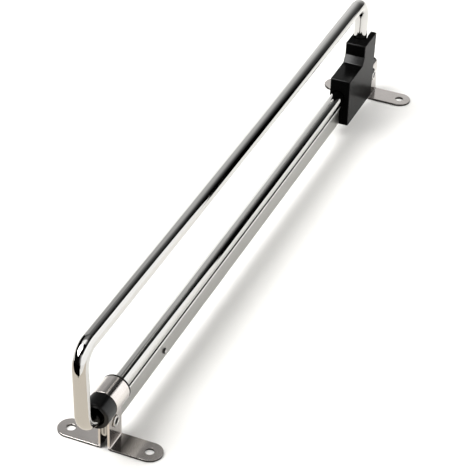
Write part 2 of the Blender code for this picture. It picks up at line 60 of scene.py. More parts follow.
# Rod and loop.
ROD = 4.0
FOOT_BEND = 11.5
TOP_BEND = 9.5
REAR_BEND = 11.0
LOOP_HEIGHT = 48.0
LOOP_LEAN = 2.4
LEG_END = 34.0
ROD_CHAMFER = 0.4
TAPPING_RADIUS = 2.05
TAPPING_DEPTH = 8.3
RUN_Z = 28.3
TOP_Z = RUN_Z + LOOP_HEIGHT

# Rail.
RAIL_FLOOR = 8.4
RAIL_TOP = 21.9
RAIL_HALF = 1.5
RAIL_SHEET = 1.3
RAIL_EDGE = 0.32
LIP_EDGE = 2.3
LIP_BEND = 0.2 + RAIL_SHEET / 2
TRIM_TOP = 19.8

# Straps.
STRIP_HALF = 6.8
STRIP = 1.3
STRIP_EDGE = 0.2
HOLE_X = 21.3
SCREW_HOLE = 2.4
EAR = 2.45
EAR_BLOCK_HALF = 5.2
FLANGE_BEND = 1.25
NECK = 2.0
COLLAR = 6.85
COLLAR_OUTER = 7.5
COLLAR_INNER = 6.2

# Rivets.
RIVET_Z = 14.1
EYELET_HOLE = 2.6
EYELET_BORE = 1.8
EYELET_SHANK = 2.3
EYELET_ROLL = 3.2
EYELET_SEAT = 3.4
EYELET_END = 3.9
STOP_SHANK = 1.0
STOP_HEAD = 1.6
STOP_HEAD_BASE = 1.55
STOP_DOME = 0.8

# Bush, liner and clip.
NOSE = 9.5
CLIP = 0.8
BORE = 4.3
BUSH_BORE = 5.3
BUSH_LIP = 0.8
SLEEVE = 5.9
LINER_SETBACK = 1.8

# Carriage.
CARRIAGE_LEFT = -5.0
CARRIAGE_RIGHT = 7.5
CARRIAGE_BOTTOM = 9.6
CARRIAGE_TOP = 52.0
CARRIAGE_EDGE = 0.5
SHELF = 40.0
BEVEL_DEPTH = 2.8
BEVEL_HEIGHT = 4.3
UPPER_WALL = 7.1
REAR_WALL = 1.7
REAR_LEAN = 2.6
BORE_WALL = 4.4
SCREW_WALL = 4.0
SCREW_HEAD = 3.2
GRUB = 2.0
NOTCH_BOTTOM = 44.0
RIB_RADIUS = 1.6
RIB_REACH = 2.2
RIB_LEVELS = (24.6, 32.0)

# Cutters: how far they stand out past the carriage, at a hole's mouth and at the rear, how far one
# starts inside the hole before it, and how wide a hole flares at its mouth.
CUT_PAST = 9.0
CUT_PAST_REAR = 12.0
CUT_OVERLAP = 1.0
MOUTH = 0.35
RUN_MOUTH = 0.15

# Distance of the extra points beside rounded corners.
SUPPORT = 0.12
LONG_SUPPORT = 0.3

# Steps of arcs, sides of round pieces, cells and rings of blanks, and samples along the others.
BEND_STEPS = 40
TIP_STEPS = 28
FOLD_STEPS = 12
ROD_SIDES = 64
TURNED_SIDES = 96
DOME_SIDES = 48
STRIP_CELLS = 12
HOLE_RINGS = 5
RING_POWER = 1.3
RAIL_SAMPLES = 60
RAIL_END_SAMPLES = 15
CLIP_SAMPLES = 90

# Angles in degrees over which edges stay sharp on the carriage and are broken on sheet pieces.
SHARP_ANGLE = 32
BROKEN_ANGLE = 40


def middle_of(node, axis):
    """Middle of a solid's box along an axis, in mm."""
    low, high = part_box(node)
    return (low[axis] + high[axis]) / 2 / MM


# Places along the rail, in mm.
FRONT_Y = middle_of("front_strap", Y)
REAR_Y = middle_of("rear_strap", Y)
FRONT_STOP_Y = middle_of("front_stop_rivet", Y)
REAR_STOP_Y = middle_of("rear_stop_rivet", Y)
FOOT_Y = FRONT_Y - STRIP_HALF - GAP - NOSE - GAP
REAR_LEG_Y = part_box("hanger_loop")[1].y / MM - ROD
CARRIAGE_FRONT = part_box("carriage_block")[0].y / MM
CARRIAGE_REAR = REAR_LEG_Y + BORE + REAR_WALL
UPPER_FRONT = REAR_LEG_Y - BORE - UPPER_WALL
RUN_END = REAR_LEG_Y - BORE - BORE_WALL - GAP
SCREW_SEAT = RUN_END + GAP + SCREW_WALL


# Surfaces.


def quads(rows, columns, wrap_rows=False, wrap_columns=False):
    """Faces of a grid of points kept row by row; a wrapped direction closes on its own start."""
    i = np.arange(rows if wrap_rows else rows - 1)[:, None]
    j = np.arange(columns if wrap_columns else columns - 1)[None, :]
    below = (i + 1) % rows
    right = (j + 1) % columns
    corners = (
        i * columns + j, i * columns + right, below * columns + right, below * columns + j,
    )
    return np.stack(corners, axis=-1).reshape(-1, 4)


def surface_mesh(name, blocks):
    """One mesh from blocks of points and faces.

    Shared edges and poles are merged, and the faces are turned outwards.
    """
    points = []
    faces = []
    start = 0
    for block_points, block_faces in blocks:
        flat = np.asarray(block_points, float).reshape(-1, 3)
        points.append(flat)
        faces.extend([[int(v) + start for v in face] for face in block_faces])
        start += len(flat)
    mesh = bpy.data.meshes.new(name)
    mesh.from_pydata((np.concatenate(points) * MM).tolist(), [], faces)
    bm = bmesh.new()
    bm.from_mesh(mesh)
    bmesh.ops.remove_doubles(bm, verts=bm.verts, dist=WELD)
    bmesh.ops.recalc_face_normals(bm, faces=bm.faces)
    bm.to_mesh(mesh)
    bm.free()
    mesh.shade_smooth()
    return mesh


def add_object(name, data):
    """A new object in the scene."""
    item = bpy.data.objects.new(name, data)
    bpy.context.scene.collection.objects.link(item)
    return item


def arc(centre, radius, start, end, steps):
    """Points centre + radius (cos a, sin a) for a from start to end, in degrees."""
    angle = np.radians(np.linspace(start, end, steps + 1))
    return np.asarray(centre) + radius * np.stack((np.cos(angle), np.sin(angle)), axis=-1)


def unit(vectors):
    """Vectors divided by their own lengths."""
    return vectors / np.linalg.norm(vectors, axis=-1, keepdims=True)


def lengths(path):
    """Way along a path to each of its points: the running sum of its steps."""
    steps = np.linalg.norm(np.diff(path, axis=0), axis=1)
    return np.concatenate(([0.0], np.cumsum(steps)))


def softened(corners, radii, steps=6):
    """Closed outline with rounded corners.

    Each corner becomes an arc about the point on its bisector at radius / sin(half angle). The arc
    turns from one tangent point to the other by spherical interpolation of the two radius vectors.
    """
    corners = np.asarray(corners, float)
    radii = np.broadcast_to(np.asarray(radii, float), len(corners))[:, None]
    before = unit(np.roll(corners, 1, axis=0) - corners)
    after = unit(np.roll(corners, -1, axis=0) - corners)
    bisector = unit(before + after)
    cosine = (bisector * before).sum(axis=1, keepdims=True)
    sine = np.sqrt(1 - cosine ** 2)
    centre = corners + bisector * radii / sine
    tangent = radii * cosine / sine
    start = corners + before * tangent - centre
    end = corners + after * tangent - centre
    turn = np.pi - 2 * np.arccos(cosine)
    share = np.linspace(0, 1, steps + 1)[None, :]
    first = np.sin((1 - share) * turn) / np.sin(turn)
    last = np.sin(share * turn) / np.sin(turn)
    arcs = first[..., None] * start[:, None] + last[..., None] * end[:, None]
    return (centre[:, None] + arcs).reshape(-1, 2)


def held(path, reach):
    """Path with a point set in from both ends of each long step, to shade straight."""
    step = np.diff(path, axis=0)
    long = np.flatnonzero(np.linalg.norm(step, axis=1) > 3 * reach)
    inset = unit(step[long]) * reach
    extra = np.stack((path[long] + inset, path[long + 1] - inset), axis=1).reshape(-1, 2)
    return np.insert(path, np.repeat(long + 1, 2), extra, axis=0)


def supported(outline, reach=SUPPORT):
    """Closed outline with the same points on its long sides."""
    return held(np.concatenate((outline, outline[:1])), reach)[:-1]


def turned(profile, origin, along, steps=TURNED_SIDES, closed=True):
    """Profile of (radius, height) turned about the axis at origin.

    A point is origin + height times the axis + radius (u cos a + v sin a), with u and v across it.
    """
    axis = np.eye(3)[along]
    u = np.eye(3)[(along + 1) % 3]
    v = np.eye(3)[(along + 2) % 3]
    angle = np.linspace(0, 2 * np.pi, steps, endpoint=False)
    ring = np.cos(angle)[:, None] * u + np.sin(angle)[:, None] * v
    profile = np.asarray(profile, float)
    height = np.asarray(origin, float) + profile[:, 1:] * axis
    points = height[:, None] + profile[:, :1, None] * ring[None]
    return points, quads(len(profile), steps, closed, True)


def turned_mesh(name, corners, radii, origin, along):
    """Closed section of (radius, height) corners, softened and turned about the axis at origin."""
    section = supported(softened(corners, radii))
    return surface_mesh(name, [turned(section, origin, along)])


def directions(path):
    """Unit direction at each path point: the sum of the unit steps before and after it."""
    step = unit(np.diff(path, axis=0))
    return unit(np.concatenate((step[:1], step[:-1] + step[1:], step[-1:])))


# Hanger loop.


def loop_path():
    """Centre line of the rod in (y, z).

    Straight lines and arcs: lower run, foot bend, leaning front leg, top run and rear leg.
    """
    lean = math.atan2(LOOP_LEAN, LOOP_HEIGHT)
    foot = FOOT_BEND * math.tan((math.pi / 2 - lean) / 2)
    top = TOP_BEND * math.tan((math.pi / 2 + lean) / 2)
    top_y = FOOT_Y - foot - LOOP_LEAN + top
    degrees = math.degrees(lean)
    rear = (REAR_LEG_Y - REAR_BEND, TOP_Z - REAR_BEND)
    line = np.concatenate((
        [(RUN_END, RUN_Z), (RUN_END - ROD_CHAMFER, RUN_Z)],
        arc((FOOT_Y, RUN_Z + FOOT_BEND), FOOT_BEND, 270, 180 + degrees, BEND_STEPS),
        arc((top_y, TOP_Z - TOP_BEND), TOP_BEND, 180 + degrees, 90, BEND_STEPS),
        arc(rear, REAR_BEND, 90, 0, BEND_STEPS),
        [(REAR_LEG_Y, LEG_END + ROD_CHAMFER), (REAR_LEG_Y, LEG_END)],
    ))
    return held(line, LONG_SUPPORT)


def rod_mesh():
    """Round section carried along the loop: point + radius (cos a normal + sin a X).

    Rings of smaller radius at both ends make the chamfers, and at the lower run's end the tapped
    hole.
    """
    path = loop_path()
    along = directions(path)
    radius = np.full(len(path), ROD)
    radius[[0, -1]] = ROD - ROD_CHAMFER
    inside = path[0] + along[0] * TAPPING_DEPTH
    path = np.concatenate(([inside, inside, path[0]], path, path[-1:]))
    along = np.concatenate((along[[0, 0, 0]], along, along[-1:]))
    radius = np.concatenate(([0.0, TAPPING_RADIUS, TAPPING_RADIUS], radius, [0.0]))
    angle = np.linspace(0, 2 * np.pi, ROD_SIDES, endpoint=False)[None, :, None]
    normal = np.stack((np.zeros(len(path)), -along[:, 1], along[:, 0]), axis=-1)
    centre = np.concatenate((np.zeros((len(path), 1)), path), axis=1)
    ring = np.cos(angle) * normal[:, None] + np.sin(angle) * np.eye(3)[X]
    points = centre[:, None] + radius[:, None, None] * ring
    return surface_mesh("rod", [(points, quads(len(path), ROD_SIDES, False, True))])


# Sheet pieces: flat blanks with punched holes, bent along a path.


def around_hole(boundary, centre, radius):
    """Points from a round hole out to a closed boundary, on straight lines from its centre.

    The share of the way out is a power of the ring's number, so that rings are closer at the hole.
    """
    centre = np.asarray(centre, float)
    edge = centre + radius * unit(boundary - centre)
    share = np.linspace(0, 1, HOLE_RINGS + 1)[:, None, None] ** RING_POWER
    points = edge * (1 - share) + boundary * share
    return points, quads(HOLE_RINGS + 1, len(boundary), False, True)


def frame_line(u, v):
    """Closed boundary through the samples u and v of a rectangle's sides."""
    low = np.stack((u[:-1], np.full(len(u) - 1, v[0])), axis=-1)
    right = np.stack((np.full(len(v) - 1, u[-1]), v[:-1]), axis=-1)
    high = np.stack((u[:0:-1], np.full(len(u) - 1, v[-1])), axis=-1)
    left = np.stack((np.full(len(v) - 1, u[0]), v[:0:-1]), axis=-1)
    return np.concatenate((low, right, high, left))


def plain(u, v):
    """Rectangular block of the blank on the samples u and v."""
    points = np.stack(np.meshgrid(u, v, indexing="ij"), axis=-1)
    return points, quads(len(u), len(v))


def bent(block, path, side):
    """Blank point (s, y) placed on the path at length s: (side x(s), y, z(s))."""
    points, faces = block
    flat = points.reshape(-1, 2)
    length = lengths(path)
    x = np.interp(flat[:, 0], length, path[:, 0])
    z = np.interp(flat[:, 0], length, path[:, 1])
    return np.stack((side * x, flat[:, 1], z), axis=-1), faces


def strap_mesh(name, over, middle_y):
    """Punched strip from flange tip to flange tip, bent along its path.

    The path is the flange, the bend and over, which runs from the ears' top to the middle. The
    other side is its mirror image.
    """
    level = STRIP / 2
    elbow = (EAR + FLANGE_BEND, level + FLANGE_BEND)
    bend = arc(elbow, FLANGE_BEND, 270, 180, FOLD_STEPS)
    path = np.concatenate(([(HOLE_X + STRIP_HALF, level)], bend, over))
    length = lengths(path)
    cells = np.linspace(-STRIP_HALF, STRIP_HALF, STRIP_CELLS + 1)
    ear_start = length[len(bend)]
    rivet = ear_start + RIVET_Z - bend[-1, 1]
    block = np.array((rivet - EAR_BLOCK_HALF, rivet + EAR_BLOCK_HALF))
    inner = 2 * STRIP_HALF
    half = STRIP_CELLS // 2
    sides = np.linspace(inner, STRIP_HALF, half + 1)
    tip = np.concatenate((
        np.stack((np.full(STRIP_CELLS, inner), cells[:-1]), axis=-1),
        np.stack((sides[:-1], np.full(half, STRIP_HALF)), axis=-1),
        arc((STRIP_HALF, 0.0), STRIP_HALF, 90, 270, TIP_STEPS)[:-1],
        np.stack((sides[:0:-1], np.full(half, -STRIP_HALF)), axis=-1),
    ))
    before = np.concatenate(([inner], length[1:len(bend) + 1], block[:1]))
    after = np.concatenate((block[1:], length[len(bend) + 1:]))
    ear = frame_line(np.linspace(*block, STRIP_CELLS + 1), cells)
    blocks = (
        around_hole(tip, (STRIP_HALF, 0.0), SCREW_HOLE),
        plain(before, cells),
        around_hole(ear, (rivet, 0.0), EYELET_HOLE),
        plain(after, cells),
    )
    placed = []
    for side in (1, -1):
        for block_points, faces in (bent(b, path, side) for b in blocks):
            placed.append((block_points + np.array((0.0, middle_y, 0.0)), faces))
    return surface_mesh(name, placed)


def front_over():
    """Neck arc out of the ears and the collar's arc up to the middle."""
    drop = math.sqrt((COLLAR + NECK) ** 2 - (EAR + NECK) ** 2)
    turn = math.degrees(math.atan2(drop, EAR + NECK))
    neck = arc((EAR + NECK, RUN_Z - drop), NECK, 180, 180 - turn, FOLD_STEPS)
    collar = arc((0.0, RUN_Z), COLLAR, -turn, 90, BEND_STEPS)
    return np.concatenate((neck, collar[1:]))


def rear_over():
    """Half round fold over the rail: a quarter arc up to the middle."""
    return arc((0.0, TRIM_TOP - GAP), EAR, 0, 90, steps=16)


def rail_mesh():
    """Folded channel: the section from lip to floor, both sides, with trimmed and punched ends."""
    wall = RAIL_HALF - RAIL_SHEET / 2
    lip = RAIL_TOP - RAIL_SHEET / 2
    low = RAIL_FLOOR + RAIL_HALF
    levels = np.linspace(TRIM_TOP, low, FOLD_STEPS + 1)
    floor = arc((0.0, low), wall, 0, -90, steps=8)[1:]
    fold = arc((wall + LIP_BEND, lip - LIP_BEND), LIP_BEND, 90, 180, steps=6)
    lips = np.concatenate(([(LIP_EDGE, lip)], fold))
    walls = np.stack((np.full(len(levels), wall), levels), axis=-1)
    path = np.concatenate((lips, walls, floor))
    length = lengths(path)
    top = len(lips)
    base = top + FOLD_STEPS
    ends = {
        FRONT_Y: (FRONT_Y - STRIP_HALF + GAP, FRONT_Y + STRIP_HALF + CLIP + 2 * GAP),
        REAR_Y: (REAR_Y - STRIP_HALF - GAP, REAR_Y + STRIP_HALF - GAP),
    }
    middle = np.linspace(ends[FRONT_Y][1], ends[REAR_Y][0], RAIL_SAMPLES)
    blocks = [plain(length, middle)]
    for rivet_y, (start, stop) in ends.items():
        y = np.linspace(start, stop, RAIL_END_SAMPLES)
        line = frame_line(length[top:base + 1], y)
        hole = (length[top] + TRIM_TOP - RIVET_Z, rivet_y)
        blocks.append(around_hole(line, hole, EYELET_HOLE))
        blocks.append(plain(length[base:], y))
    return surface_mesh("rail", [bent(b, path, side) for side in (1, -1) for b in blocks])


# Turned and moulded pieces.


def eyelet_mesh(name, y):
    """Rolled tubular rivet through both ears, turned about X: one half and its mirror image."""
    half = np.array((
        (EYELET_BORE, EYELET_END),
        (EYELET_ROLL, EYELET_END),
        (EYELET_ROLL, EYELET_SEAT),
        (EYELET_SHANK, EYELET_SEAT),
    ))
    radii = [0.45, 0.24, 0.12, 0.05]
    corners = np.concatenate((half, half[::-1] * (1, -1)))
    return turned_mesh(name, corners, radii + radii[::-1], (0, y, RIVET_Z), X)


def stop_rivet_mesh(name, y):
    """Two low domes on a shank, turned about X: the dome is a quarter ellipse."""
    seat = RAIL_HALF + GAP
    dome = arc((0.0, 0.0), 1.0, 90, 0, FOLD_STEPS) * (STOP_HEAD, STOP_DOME) + (0.0, seat)
    half = np.concatenate((dome, [(STOP_HEAD_BASE, seat), (STOP_SHANK, seat)]))
    profile = np.concatenate((half, half[::-1] * (1, -1)))
    return surface_mesh(name, [turned(profile, (0, y, RIVET_Z), X, DOME_SIDES, False)])


def bush_mesh():
    """Nose and sleeve of the bush, turned about the lower run."""
    seat = -STRIP_HALF - GAP
    nose = seat - NOSE
    rear = STRIP_HALF + GAP + CLIP
    lip = rear - BUSH_LIP
    corners = [
        (BORE, rear), (SLEEVE, rear), (SLEEVE, seat), (COLLAR_OUTER, seat),
        (COLLAR_OUTER, nose), (BUSH_BORE, nose), (BUSH_BORE, lip), (BORE, lip),
    ]
    radii = [0.2, 0.3, 0.1, 0.25, 0.8, 0.5, 0.1, 0.2]
    return turned_mesh("bush", corners, radii, (0, FRONT_Y, RUN_Z), Y)


def liner_mesh():
    """Thin tube of the slide liner, turned about the lower run."""
    rear = STRIP_HALF + CLIP - BUSH_LIP
    front = -STRIP_HALF - GAP - NOSE + LINER_SETBACK
    outer = BUSH_BORE - GAP
    corners = [(BORE, rear), (outer, rear), (outer, front), (BORE, front)]
    return turned_mesh("liner", corners, 0.2, (0, FRONT_Y, RUN_Z), Y)


def clip_mesh():
    """Open ring: a softened square section carried round the lower run, closed at both ends.

    The section shrinks to its middle at each end, by way of a slightly smaller one.
    """
    low = STRIP_HALF + GAP
    high = low + CLIP
    corners = [
        (COLLAR_OUTER, high), (COLLAR_OUTER, low), (COLLAR_INNER, low), (COLLAR_INNER, high),
    ]
    section = supported(softened(corners, 0.2))
    middle = section.mean(axis=0)
    gap = math.asin((LIP_EDGE + GAP) / COLLAR_INNER)
    angle = np.linspace(gap, 2 * np.pi - gap, CLIP_SAMPLES)
    shrink = np.concatenate(([0.0, 0.85], np.ones(CLIP_SAMPLES), [0.85, 0.0]))
    angle = np.concatenate((angle[[0, 0]], angle, angle[[-1, -1]]))
    ring = middle + (section - middle)[None] * shrink[:, None, None]
    points = np.stack((
        -ring[..., 0] * np.sin(angle)[:, None],
        FRONT_Y + ring[..., 1],
        RUN_Z - ring[..., 0] * np.cos(angle)[:, None],
    ), axis=-1)
    return surface_mesh("clip", [(points, quads(len(angle), len(section), False, True))])


def rear_line(level):
    """Y of the carriage's leaning rear face at a height: its foot plus the lean's share."""
    share = (level - CARRIAGE_BOTTOM) / (CARRIAGE_TOP - CARRIAGE_BOTTOM)
    return CARRIAGE_REAR + REAR_LEAN * share


def carriage_outline():
    """Side view of the carriage in (y, z), all corners rounded."""
    corners = [(CARRIAGE_FRONT, CARRIAGE_BOTTOM), (CARRIAGE_REAR, CARRIAGE_BOTTOM)]
    radii = [0.7, 0.7]
    for level in RIB_LEVELS:
        low = level - RIB_RADIUS
        high = level + RIB_RADIUS
        tip = rear_line(level) + RIB_REACH + RIB_RADIUS
        corners += [(rear_line(low), low), (tip, low), (tip, high), (rear_line(high), high)]
        radii += [0.4, 1.5, 1.5, 0.4]
    corners += [
        (rear_line(CARRIAGE_TOP), CARRIAGE_TOP),
        (UPPER_FRONT, CARRIAGE_TOP),
        (UPPER_FRONT, SHELF + BEVEL_HEIGHT),
        (UPPER_FRONT - BEVEL_DEPTH, SHELF),
        (CARRIAGE_FRONT, SHELF),
    ]
    radii += [0.7, 0.7, 0.4, 0.4, 0.8]
    return supported(softened(corners, radii, steps=8), LONG_SUPPORT)


def carriage_body_mesh():
    """Outline carried along X, with rounded edges at both sides.

    Near a side it draws in by edge (1 - cos a) while X runs edge sin a.
    """
    outline = carriage_outline()
    step = np.roll(outline, -1, axis=0) - np.roll(outline, 1, axis=0)
    inward = unit(np.stack((-step[:, 1], step[:, 0]), axis=-1))
    angle = np.radians(np.linspace(0, 90, 7))
    draw = np.concatenate(([CARRIAGE_EDGE + SUPPORT], CARRIAGE_EDGE * (1 - np.cos(angle))[::-1]))
    inset = np.concatenate(([0.0], CARRIAGE_EDGE * (1 - np.sin(angle))[::-1]))
    draw = np.concatenate((draw, draw[::-1]))
    across = np.concatenate((CARRIAGE_LEFT + inset, CARRIAGE_RIGHT - inset[::-1]))
    flat = outline[None] + inward[None] * draw[:, None, None]
    x = np.broadcast_to(across[:, None, None], flat.shape[:2] + (1,))
    points = np.concatenate((x, flat), axis=-1)
    count = len(outline)
    sides = quads(len(across), count, False, True).tolist()
    last = (len(across) - 1) * count
    caps = [list(range(count)), list(range(last, last + count))]
    return surface_mesh("carriage", [(points, sides + caps)])


def bore_blocks(radius, start, end, centre, along, mouth=MOUTH):
    """Cutter for a round hole from start to its open end, where it flares by the mouth's width."""
    way = 1 if end > start else -1
    past = end + way * CUT_PAST
    wide = radius + mouth
    profile = [
        (0.0, start), (radius, start), (radius, end - way * mouth), (wide, end), (wide, past),
        (0.0, past),
    ]
    return turned(profile, centre, along, ROD_SIDES, False)


def box_block(low, high):
    """Cutter with the given corners."""
    corners = np.array(np.meshgrid(*zip(low, high), indexing="ij")).reshape(3, -1).T
    faces = [
        (0, 1, 3, 2), (4, 6, 7, 5), (0, 4, 5, 1), (2, 3, 7, 6), (0, 2, 6, 4), (1, 5, 7, 3),
    ]
    return corners, faces


def carriage_cutters():
    """Rod bores, rear notch, rail slot with its wider part for the lips, and screw holes."""
    front = CARRIAGE_FRONT - CUT_PAST
    rear = rear_line(CARRIAGE_TOP) + CUT_PAST_REAR
    above = CARRIAGE_TOP + 2 * CUT_PAST
    slot = RAIL_HALF + GAP
    wide_slot = LIP_EDGE + GAP
    under_lips = RAIL_TOP - RAIL_SHEET - GAP
    grub_z = (LEG_END + NOTCH_BOTTOM) / 2
    run_axis = (0, 0, RUN_Z)
    return [
        bore_blocks(BORE, RUN_END + GAP, CARRIAGE_FRONT, run_axis, Y, RUN_MOUTH),
        bore_blocks(BORE, LEG_END - GAP, CARRIAGE_TOP, (0, REAR_LEG_Y, 0), Z),
        box_block((-ROD, REAR_LEG_Y, NOTCH_BOTTOM), (ROD, rear, above)),
        box_block((-slot, front, 0.0), (slot, rear, RAIL_TOP)),
        box_block((-wide_slot, front, under_lips), (wide_slot, rear, RAIL_TOP + GAP)),
        bore_blocks(TAPPING_RADIUS, RUN_END - CUT_OVERLAP, rear_line(RUN_Z), run_axis, Y),
        bore_blocks(SCREW_HEAD + GAP, SCREW_SEAT, rear_line(RUN_Z), run_axis, Y),
        bore_blocks(GRUB + GAP, REAR_LEG_Y, rear_line(grub_z), (0, 0, grub_z), Y),
    ]


def carriage_mesh():
    """Carriage body with its cutters taken away one after the other."""
    body = add_object("carriage_body", carriage_body_mesh())
    tools = []
    for number, block in enumerate(carriage_cutters()):
        tool = add_object(f"carriage_tool_{number}", surface_mesh("tool", [block]))
        tools.append(tool)
        modifier = body.modifiers.new(tool.name, "BOOLEAN")
        modifier.operation = "DIFFERENCE"
        modifier.object = tool
    graph = bpy.context.evaluated_depsgraph_get()
    mesh = bpy.data.meshes.new_from_object(body.evaluated_get(graph))
    for item in [body] + tools:
        bpy.data.objects.remove(item, do_unlink=True)
    mesh.shade_smooth()
    mesh.set_sharp_from_angle(angle=math.radians(SHARP_ANGLE))
    return mesh


# Finishes.


class Value:
    """A socket of a finish; arithmetic on it adds Math nodes."""

    def __init__(self, finish, socket):
        self.finish = finish
        self.socket = socket

    def _math(self, operation, first, second):
        return self.finish.node("ShaderNodeMath", {"operation": operation}, {0: first, 1: second})

    def __add__(self, other):
        return self._math("ADD", self, other)

    def __sub__(self, other):
        return self._math("SUBTRACT", self, other)

    def __rsub__(self, other):
        return self._math("SUBTRACT", other, self)

    def __mul__(self, other):
        return self._math("MULTIPLY", self, other)

    __radd__ = __add__
    __rmul__ = __mul__


def socket_name(word):
    """Shader socket for a keyword, such as Base Color for base_color."""
    return word.replace("_", " ").title().replace("Ior", "IOR")


def set_stops(ramp, stops):
    """Grey stops of a new ramp, which has its two ends already, from (position, level) pairs."""
    for position, _ in stops[1:-1]:
        ramp.elements.new(position)
    for element, (_, level) in zip(ramp.elements, stops):
        element.color = (level, level, level, 1.0)


class Finish:
    """A procedural material on Object coordinates around one Principled shader."""

    def __init__(self, name, **constants):
        self.material = bpy.data.materials.new(name)
        self.material.use_nodes = True
        self.tree = self.material.node_tree
        self.shader = self.tree.nodes["Principled BSDF"]
        self.place = self.node("ShaderNodeTexCoord", output="Object")
        self.feed(**constants)

    def node(self, kind, settings=None, inputs=None, output=0):
        """A new node: settings first, then the values or links of its sockets; gives one output.

        The setting named stops is a ramp's list of (position, level) pairs.
        """
        item = self.tree.nodes.new(kind)
        for key, value in (settings or {}).items():
            if key == "stops":
                set_stops(item.color_ramp, value)
            else:
                setattr(item, key, value)
        for key, value in (inputs or {}).items():
            self.join(value, item.inputs[key])
        return Value(self, item.outputs[output])

    def join(self, value, socket):
        """Links a value to a socket, or sets a plain number or colour on it."""
        if isinstance(value, Value):
            self.tree.links.new(value.socket, socket)
        else:
            socket.default_value = value

    def grain(self, size, detail=2.0):
        """Noise with features of the given size in mm, one number or three along X, Y and Z."""
        scale = tuple(1.0 / MM / np.broadcast_to(np.asarray(size, float), 3))
        place = self.node("ShaderNodeMapping", None, {"Vector": self.place, "Scale": scale})
        inputs = {"Vector": place, "Scale": 1.0, "Detail": detail}
        return self.node("ShaderNodeTexNoise", None, inputs)

    def axis(self, name):
        """One Object coordinate, in metres."""
        return self.node("ShaderNodeSeparateXYZ", None, {0: self.place}, name)

    def span(self, value, low, high):
        """Value mapped so that low gives 0 and high gives 1, held at both ends."""
        limits = {"From Min": low, "From Max": high}
        return self.node("ShaderNodeMapRange", {"clamp": True}, {"Value": value, **limits})

    def fade(self, value, low, high):
        """The same for a coordinate, with limits in mm."""
        return self.span(value, low * MM, high * MM)

    def apart(self, value, low, high):
        """From 0 to 1 as a coordinate's distance from zero goes from low to high, in mm."""
        return self.span(value * value, (low * MM) ** 2, (high * MM) ** 2)

    def specks(self, size, low, high):
        """Fine noise pushed through a steep range from low to high, for scratches and dust."""
        return self.span(self.grain(size, 3.0), low, high)

    def curve(self, value, points):
        """Value led along straight lines through (place, level) points."""
        places, levels = np.array(points).T
        stops = list(zip((places - places[0]) / np.ptp(places), levels))
        share = self.span(value, places[0], places[-1])
        return self.node("ShaderNodeValToRGB", {"stops": stops}, {"Fac": share})

    def tone(self, factor, first, second):
        """Colour mixed from two by a factor; each is three numbers or a colour made before."""
        pair = [item if isinstance(item, Value) else (*item, 1.0) for item in (first, second)]
        inputs = {0: factor, 6: pair[0], 7: pair[1]}
        return self.node("ShaderNodeMix", {"data_type": "RGBA"}, inputs, 2)

    def bump(self, height, depth):
        """Surface relief of the given depth in mm."""
        inputs = {"Height": height, "Distance": depth * MM, "Strength": 1.0}
        return self.node("ShaderNodeBump", None, inputs, "Normal")

    def feed(self, **links):
        """Feeds the shader's sockets, named by keyword, and gives the material."""
        for socket, value in links.items():
            self.join(value, self.shader.inputs[socket_name(socket)])
        return self.material


# Colours, as linear red, green and blue.
CHROME_PALE = (0.585, 0.578, 0.562)
CHROME_DEEP = (0.537, 0.53, 0.515)
NICKEL_PALE = np.array((0.70, 0.66, 0.63))
NICKEL_DEEP = np.array((0.60, 0.565, 0.54))
# Painted highlight on the left front flange.
NICKEL_PAINTED_LIGHT = (0.93, 0.88, 0.84)
# Painted shade on the right front flange, towards its ear.
NICKEL_PAINTED_SHADE = (0.12, 0.11, 0.105)
# Painted shade on the ears' inner faces under the rail.
NICKEL_GAP_SHADE = (0.03, 0.028, 0.027)
# Painted shade on the strips' lower parts and cut edges near the floor.
NICKEL_EDGE_SHADE = (0.05, 0.047, 0.044)
SATIN_PALE = (0.57, 0.562, 0.542)
SATIN_DEEP = (0.41, 0.404, 0.386)
# Painted highlight for the upper outer edges of the rail's lips.
SATIN_PAINTED_HIGHLIGHT = (0.97, 0.96, 0.94)
# Painted shade on top of the rail's lips, under the rod.
SATIN_PAINTED_SHADE = (0.1, 0.1, 0.096)
RIVET_PALE = (0.80, 0.78, 0.76)
RIVET_DEEP = (0.66, 0.65, 0.63)
# Painted shade round the rivets' domes and inside their bores.
RIVET_PAINTED_SHADE = (0.025, 0.024, 0.023)
PLASTIC_DEEP = (0.0005, 0.0005, 0.0005)
PLASTIC_PALE = (0.0025, 0.0025, 0.0025)
ZINC_YELLOW = (0.62, 0.61, 0.55)
ZINC_BLUE = (0.52, 0.55, 0.58)
FLOOR_PALE = (0.87, 0.86, 0.835)
FLOOR_DEEP = (0.86, 0.85, 0.825)
CARD_WHITE = (1.0, 1.0, 1.0)
CARD_WARM = (1.0, 0.92, 0.80)
CARD_BLACK = (0.0, 0.0, 0.0)
ROOM_DARK = (0.004, 0.004, 0.004)

# Strength of the painted shade on the right front flange, at distances in mm from the strap's
# middle.
PAINTED_SHADE_LEVELS = ((0.0, 0.0), (2.5, 0.35), (5.0, 0.6), (8.0, 0.95), (12.5, 0.38), (25.0, 0.2))

# Radii in mm where a rivet is plated and where it is painted dark as shade: in the tube's bore,
# round the dome.
TUBE_RADII = (1.95, 1.75)
DOME_RADII = (0.7, 1.1)


def chrome_finish():
    """Polished plate: clear, with a faint haze and hairline marks."""
    f = Finish("polished_chrome", metallic=1.0)
    haze = f.grain(9.0, 3.0)
    marks = f.specks((0.35, 3.0, 0.35), 0.66, 0.8)
    return f.feed(
        base_color=f.tone(f.grain(26.0), CHROME_PALE, CHROME_DEEP),
        roughness=0.025 + haze * 0.05 + marks * 0.06,
        normal=f.bump(f.grain(2.4, 2.0), 0.0012),
    )


